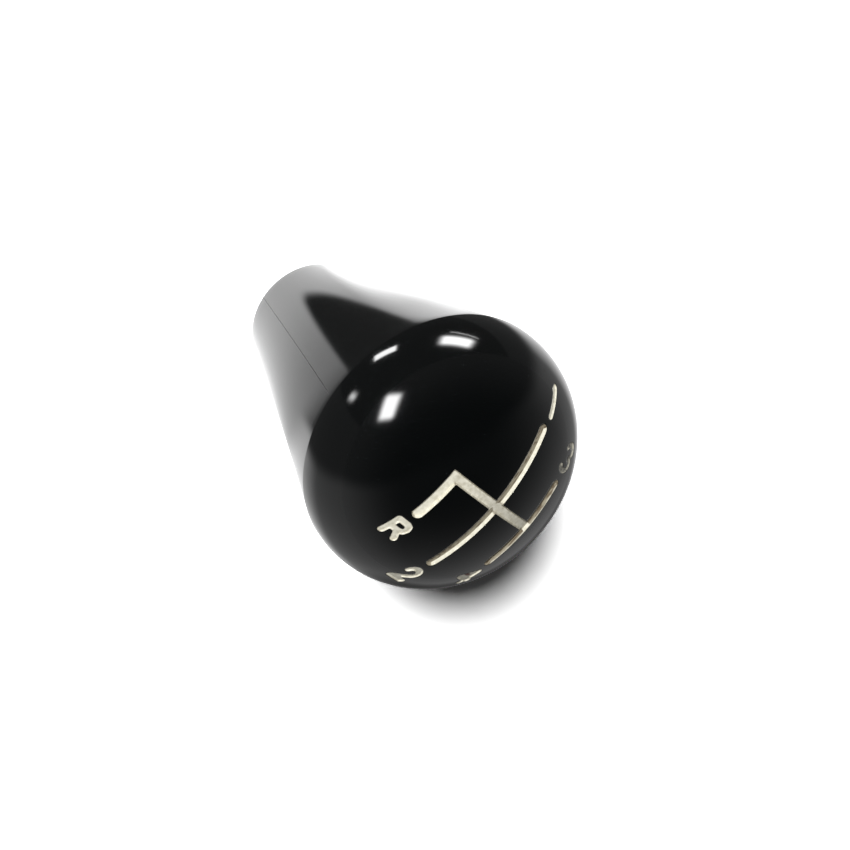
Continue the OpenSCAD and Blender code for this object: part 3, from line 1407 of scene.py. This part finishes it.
@dataclass(frozen=True)
class SoftBox:
    """A glowing panel that only reflections see, facing a point of the knob."""

    name: str
    centre: Point
    size: Pair
    turn_deg: float
    strength: float
    soften: float = 0.25
    aim: Point = (0.0, 0.0, 46 * MM)

    def build(self) -> bpy.types.Object:
        """Make the panel: one rectangle on its own X and Y, turned to face its aim.

        Returns:
            The panel.
        """
        mesh = bpy.data.meshes.new(self.name)
        w, h = self.size[0] / 2, self.size[1] / 2
        corners = [(-w, -h, 0), (w, -h, 0), (w, h, 0), (-w, h, 0)]
        mesh.from_pydata(corners, [], [(0, 1, 2, 3)])
        panel = bpy.data.objects.new(self.name, mesh)
        bpy.context.scene.collection.objects.link(panel)
        back = (Vector(self.centre) - Vector(self.aim)).normalized()
        across = Vector((0, 0, 1)).cross(back).normalized()
        turn = Matrix.Rotation(math.radians(self.turn_deg), 3, back)
        x = turn @ across
        facing = Matrix((x, back.cross(x), back)).transposed().to_quaternion()
        panel.matrix_world = Matrix.LocRotScale(Vector(self.centre), facing, None)
        panel.visible_camera = panel.visible_diffuse = panel.visible_shadow = False
        panel.visible_transmission = False
        mesh.materials.append(self._glow())
        return panel

    def _glow(self) -> bpy.types.Material:
        """Emission that is even in the middle and fades to nothing at the panel's edges.

        The share is the product of two ramps, one for the distance from the middle along
        each side. The strength and the cover both follow it.

        Returns:
            The material.
        """
        material = bpy.data.materials.new(self.name)
        material.use_nodes = True
        material.cycles.emission_sampling = "NONE"
        made = Shader(material.node_tree)
        place = made.node("ShaderNodeTexCoord").outputs["Object"]
        shares = []
        for way, size in (((1, 0, 0), self.size[0]), ((0, 1, 0), self.size[1])):
            aside = made.math("ABSOLUTE", made.dot(place, way))
            edge = self.soften * min(self.size)
            shares.append(made.ramp(aside, size / 2 - edge, size / 2, 1.0, 0.0))
        glow = made.node("ShaderNodeEmission")
        share = made.math("MULTIPLY", *shares)
        made.link(made.math("MULTIPLY", share, self.strength), glow.inputs["Strength"])
        clear = made.node("ShaderNodeBsdfTransparent")
        blend = made.node("ShaderNodeMixShader")
        made.link(share, blend.inputs[0])
        made.link(clear.outputs[0], blend.inputs[1])
        made.link(glow.outputs[0], blend.inputs[2])
        made.put_out(blend)
        return material


@dataclass(frozen=True)
class BrightSide:
    """The lit side of the room, as reflections see it, with a soft edge given as a cosine."""

    way: Point = (0.866, -0.5, 0.0)
    edge: float = 0.17

    def share(self, made: Shader, towards: Socket) -> Socket:
        """One for a direction towards the lit side, and nothing towards the dark side."""
        return made.ramp(made.dot(towards, self.way), -self.edge, self.edge)


@dataclass(frozen=True)
class FloorInGloss:
    """The floor as reflections see it, which stands in for what lies round the real knob.

    It is brightest in a ring round the stem, brighter still on the sunny side, and softer
    further off. It is dark on the room's dark side and in a wedge beside the stem, and dim
    in the lee of the knob. A pair is where a ramp starts and where it ends, in metres for
    a length and as a cosine for a direction, or the values at its two ends.
    """

    near: Pair = (3.1, 1.35)
    near_r: Pair = (11 * MM, 27 * MM)
    sunny_way: Point = (0.2, 0.98, 0.0)
    sunny_cosine: Pair = (0.72, 0.97)
    sunny_gain: float = 1.9
    ring_edge: Pair = (25.5 * MM, 30.5 * MM)
    pool_place: Point = (6 * MM, 12 * MM, 0.0)
    pool_edge: Pair = (19.5 * MM, 24.5 * MM)
    far: Pair = (1.9, 0.62)
    far_r: Pair = (35 * MM, 95 * MM)
    far_lag: Point = (0.43, 0.25, 0.0)
    lee_way: Point = (0.94, -0.34, 0.0)
    lee_cosine: Pair = (0.8, 0.97)
    lee_share: float = 0.22
    lee_r: Pair = (120 * MM, 300 * MM)
    dark: float = 0.16
    wedge_share: float = 0.5
    wedge_edge: float = 1.6 * MM
    wedge_front: Point = (-0.982, 0.186, 0.0)
    wedge_front_at: float = 14.8 * MM
    wedge_side: Point = (-0.352, 0.936, 0.0)
    wedge_side_at: float = 9.8 * MM

    def tone(self, made: Shader, bright_side: BrightSide) -> Socket:
        """Build the floor's tone from ramps of the place and of the way to it.

        The far tone is a ramp of the distance, less the place's share along the lag, times
        the lee's ramp, and it is dark on the dark side. The near tone takes its place
        inside the ring and the pool. The wedge is where two straight edges are both passed.

        Args:
            made: The floor's shader builder.
            bright_side: The lit side of the room.

        Returns:
            The tone.
        """
        place = made.node("ShaderNodeTexCoord").outputs["Object"]
        distance = made.distance(place, (0.0, 0.0, 0.0))
        outwards = made.node("ShaderNodeVectorMath", operation="NORMALIZE")
        made.link(place, outwards.inputs[0])
        outwards = outwards.outputs[0]
        lag = made.math("MAXIMUM", made.dot(place, self.far_lag), 0.0)
        far = made.ramp(made.math("SUBTRACT", distance, lag), *self.far_r, *self.far)
        lee = made.ramp(made.dot(outwards, self.lee_way), *self.lee_cosine, 1.0, self.lee_share)
        far = made.math("MULTIPLY", far, made.ramp(distance, *self.lee_r, lee, 1.0))
        far = made.ramp(bright_side.share(made, outwards), 0.0, 1.0, self.dark, far)
        sunny = made.dot(outwards, self.sunny_way)
        sunny = made.ramp(sunny, *self.sunny_cosine, 1.0, self.sunny_gain)
        near = made.math("MULTIPLY", made.ramp(distance, *self.near_r, *self.near), sunny)
        ring = made.ramp(distance, *self.ring_edge, 1.0, 0.0)
        pool = made.ramp(made.distance(place, self.pool_place), *self.pool_edge, 1.0, 0.0)
        tone = made.ramp(made.math("MAXIMUM", ring, pool), 0.0, 1.0, far, near, smooth=False)
        before, beside = (
            made.ramp(made.dot(place, way), at - self.wedge_edge, at + self.wedge_edge)
            for way, at in (
                (self.wedge_front, self.wedge_front_at),
                (self.wedge_side, self.wedge_side_at),
            )
        )
        wedge = made.math("MULTIPLY", before, beside)
        return made.ramp(wedge, 0.0, 1.0, tone, self.wedge_share * self.dark)


@dataclass
class Studio:
    """Plain white studio: floor, world, one wide sun, softboxes and the camera."""

    floor_half: float = 3.0
    floor_z: float = -0.02 * MM
    floor_albedo: float = 0.8
    floor_shown: float = 3.3
    floor_in_gloss: FloorInGloss = field(default_factory=FloorInGloss)
    bright_side: BrightSide = field(default_factory=BrightSide)
    room: Pair = (0.12, 0.5)
    room_height: Pair = (-0.1, 0.95)
    room_top: float = 0.06
    fill: float = 0.012
    sun_azimuth_deg: float = 168.0
    sun_elevation_deg: float = 36.0
    sun_spread_deg: float = 12.0
    sun_strength: float = 3.7
    eye: Point = (-0.2022, 0.0229, 0.2562)
    image_right: Point = (0.58996, 0.64369, 0.48745)
    image_down: Point = (0.43329, -0.76181, 0.48157)
    sensor_mm: float = 36.0
    focal_px: float = 1902.7589
    image_px: int = 850
    nearest_seen: float = 0.01
    softboxes: tuple[SoftBox, ...] = (
        SoftBox(
            "window_box", (-186.4 * MM, 12.3 * MM, 88.3 * MM), (96 * MM, 72 * MM), -144.0, 20.0,
            soften=0.34,
        ),
        SoftBox(
            "bar_box", (-38.6 * MM, 82 * MM, 26.5 * MM), (43 * MM, 30 * MM), 142.4, 18.0,
            soften=0.36,
        ),
        SoftBox(
            "thin_box", (-25 * MM, 83.1 * MM, 16.9 * MM), (28 * MM, 3.4 * MM), 132.8, 8.0,
            soften=0.5,
        ),
        SoftBox(
            "edge_box", (-48.5 * MM, 22.8 * MM, 14.3 * MM), (17 * MM, 9.5 * MM), 156.4, 14.0
        ),
        SoftBox(
            "low_box", (-72.5 * MM, -9.3 * MM, 16.5 * MM), (19 * MM, 16 * MM), 94.0, 9.0,
            soften=0.5,
        ),
    )

    def build(self) -> None:
        """Set the colour transform and make everything in the studio."""
        scene = bpy.context.scene
        scene.view_settings.view_transform = "Standard"
        self._floor()
        self._world()
        self._sun()
        for box in self.softboxes:
            box.build()
        self._camera()

    def _floor(self) -> None:
        """Make the floor: overexposed white to the camera and plain white to diffuse rays."""
        mesh = bpy.data.meshes.new("floor")
        s, z = self.floor_half, self.floor_z
        mesh.from_pydata([(-s, -s, z), (s, -s, z), (s, s, z), (-s, s, z)], [], [(0, 1, 2, 3)])
        floor = bpy.data.objects.new("floor", mesh)
        bpy.context.scene.collection.objects.link(floor)
        material = bpy.data.materials.new("floor")
        material.use_nodes = True
        made = Shader(material.node_tree)
        seen = self.floor_in_gloss.tone(made, self.bright_side)
        glossy = made.shown(RayKind.GLOSSY, RayKind.TRANSMISSION)
        grey = made.ramp(glossy, 0.0, 1.0, self.floor_albedo, seen, smooth=False)
        camera = made.shown(RayKind.CAMERA)
        shade = made.ramp(camera, 0.0, 1.0, grey, self.floor_shown, smooth=False)
        tone = made.node("ShaderNodeCombineColor")
        for socket in tone.inputs:
            made.link(shade, socket)
        skin = made.node("ShaderNodeBsdfDiffuse")
        made.link(tone.outputs[0], skin.inputs["Color"])
        made.put_out(skin)
        mesh.materials.append(material)

    def _world(self) -> None:
        """Make the world: white to the camera, a dim studio in reflections, a low fill.

        The studio's strength is a ramp towards its bright side times one of the height.
        """
        world = bpy.data.worlds.new("studio")
        bpy.context.scene.world = world
        world.use_nodes = True
        made = Shader(world.node_tree)
        way = made.node("ShaderNodeTexCoord").outputs["Generated"]
        room = made.ramp(self.bright_side.share(made, way), 0.0, 1.0, *self.room)
        height = made.dot(way, (0.0, 0.0, 1.0))
        dimmer = made.ramp(height, *self.room_height, 1.0, self.room_top)
        room = made.math("MULTIPLY", room, dimmer)
        glossy = made.shown(RayKind.GLOSSY, RayKind.TRANSMISSION)
        dim = made.ramp(glossy, 0.0, 1.0, self.fill, room, smooth=False)
        camera = made.shown(RayKind.CAMERA)
        strength = made.ramp(camera, 0.0, 1.0, dim, 1.0, smooth=False)
        sky = made.node("ShaderNodeBackground")
        made.link(strength, sky.inputs["Strength"])
        out = made.node("ShaderNodeOutputWorld")
        made.link(sky.outputs[0], out.inputs["Surface"])

    def _sun(self) -> None:
        """Make the key light: a wide sun, low on the camera's side, that has no reflection.

        Its direction is (cos a cos e, sin a cos e, sin e) for azimuth a and elevation e.
        """
        lamp = bpy.data.lights.new("key", "SUN")
        lamp.energy = self.sun_strength
        lamp.angle = math.radians(self.sun_spread_deg)
        sun = bpy.data.objects.new("key", lamp)
        bpy.context.scene.collection.objects.link(sun)
        a, e = math.radians(self.sun_azimuth_deg), math.radians(self.sun_elevation_deg)
        back = Vector((math.cos(a) * math.cos(e), math.sin(a) * math.cos(e), math.sin(e)))
        sun.rotation_mode = "QUATERNION"
        sun.rotation_quaternion = back.to_track_quat("Z", "Y")
        sun.visible_glossy = False

    def _camera(self) -> None:
        """Make the camera from its eye point and the photograph's right and down.

        The lens is the focal length in pixels over the image's width, times the sensor's.
        """
        data = bpy.data.cameras.new("camera")
        data.sensor_width = self.sensor_mm
        data.lens = self.focal_px / self.image_px * data.sensor_width
        data.clip_start = self.nearest_seen
        data.dof.use_dof = False
        camera = bpy.data.objects.new("camera", data)
        bpy.context.scene.collection.objects.link(camera)
        right, up = Vector(self.image_right), -Vector(self.image_down)
        back = right.cross(up)
        camera.rotation_mode = "QUATERNION"
        turn = Matrix((right, up, back)).transposed()
        camera.matrix_world = Matrix.LocRotScale(Vector(self.eye), turn.to_quaternion(), None)
        bpy.context.scene.camera = camera


def main() -> None:
    """Build the knob's pieces and the studio, and report each piece."""
    logging.basicConfig(level=logging.INFO, format="%(name)s: %(message)s")
    profile, seat, gate = KnobProfile(), BushSeat(), ShiftGate()
    crown = EngravedCrown(profile, gate)
    for part in (KnobMoulding(profile, seat, crown), GateEnamel(crown), ThreadedBush(seat)):
        piece = part.build()
        log.info("%s: %d triangles", piece.name, len(piece.data.polygons))
    Studio().build()


if __name__ == "__main__":
    main()
